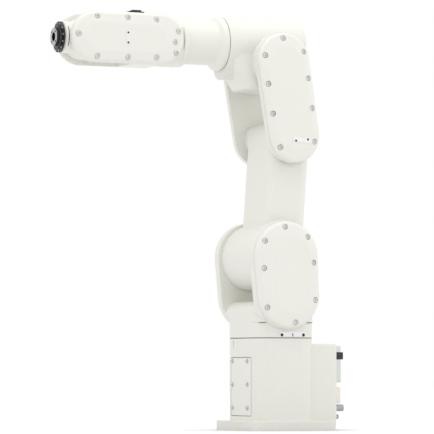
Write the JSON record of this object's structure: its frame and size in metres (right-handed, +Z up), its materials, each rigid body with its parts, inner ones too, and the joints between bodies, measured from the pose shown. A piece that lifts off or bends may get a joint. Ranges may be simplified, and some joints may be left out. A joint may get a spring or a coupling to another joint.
{
  "type": "industrial robot arm",
  "caption": "Six-axis industrial robot arm on a square foot: fork-jointed shoulder and elbow with oval covers, slim forearm, tilting wrist and a round tool flange.",
  "frame": {"origin": "on the foot's underside, on axis 1", "axes": "+X the way the arm points at rest, +Y its left side, +Z up"},
  "size_m": [0.6975, 0.244, 0.9576],
  "materials": {
    "arm_paint": "warm off-white semi-gloss paint on cast aluminium",
    "cover_paint": "warm off-white semi-gloss paint on covers",
    "panel_steel": "pale grey painted sheet",
    "black_plastic": "black connector plastic",
    "grey_metal": "grey metal connector shell",
    "pale_plastic": "pale beige plastic",
    "brass_fitting": "plain brass",
    "mark_metal": "bare pale aluminium",
    "dark_steel": "black-finished steel"
  },
  "bodies": {
    "base": {"base_casting": "arm_paint", "base_front_cover": "cover_paint", "base_rear_panel": "panel_steel", "power_socket": "black_plastic", "signal_socket": "grey_metal", "network_socket": "pale_plastic", "base_air_ports": "brass_fitting", "earth_stud": "grey_metal"},
    "swing": {"swing_housing": "arm_paint", "shoulder_cover_left": "cover_paint", "shoulder_cover_right": "cover_paint", "swing_mark_plate": "mark_metal"},
    "lower_arm": {"lower_arm_casting": "arm_paint", "elbow_cover_left": "cover_paint", "elbow_cover_right": "cover_paint", "elbow_mark_plate": "mark_metal"},
    "elbow": {"elbow_housing": "arm_paint", "elbow_rear_cap": "cover_paint"},
    "forearm": {"forearm_tube": "arm_paint", "wrist_housing": "arm_paint", "wrist_cover_left": "cover_paint", "wrist_cover_right": "cover_paint", "wrist_socket": "black_plastic", "wrist_air_ports": "brass_fitting", "wrist_mark_plate": "mark_metal"},
    "tilt": {"tilt_housing": "arm_paint", "flange_ring": "dark_steel"},
    "tool_flange": {"tool_flange": "dark_steel"}
  },
  "joints": [
    {"name": "axis_1_turn", "type": "hinge", "parent": "base", "child": "swing", "pos_m": [0, 0, 0.211], "axis": [0, 0, 1], "range_deg": [-170, 170]},
    {"name": "axis_2_lean", "type": "hinge", "parent": "swing", "child": "lower_arm", "pos_m": [0, 0, 0.3991], "axis": [0, 1, 0], "range_deg": [-100, 130]},
    {"name": "axis_3_lift", "type": "hinge", "parent": "lower_arm", "child": "elbow", "pos_m": [0, 0, 0.8471], "axis": [0, -1, 0], "range_deg": [-70, 200]},
    {"name": "axis_4_roll", "type": "hinge", "parent": "elbow", "child": "forearm", "pos_m": [0.121, 0, 0.8891], "axis": [1, 0, 0], "range_deg": [-270, 270]},
    {"name": "axis_5_tilt", "type": "hinge", "parent": "forearm", "child": "tilt", "pos_m": [0.451, 0, 0.8891], "axis": [0, 1, 0], "range_deg": [-130, 130]},
    {"name": "axis_6_roll", "type": "hinge", "parent": "tilt", "child": "tool_flange", "pos_m": [0.518, 0, 0.8891], "axis": [1, 0, 0], "range_deg": [-242, 242]}
  ]
}
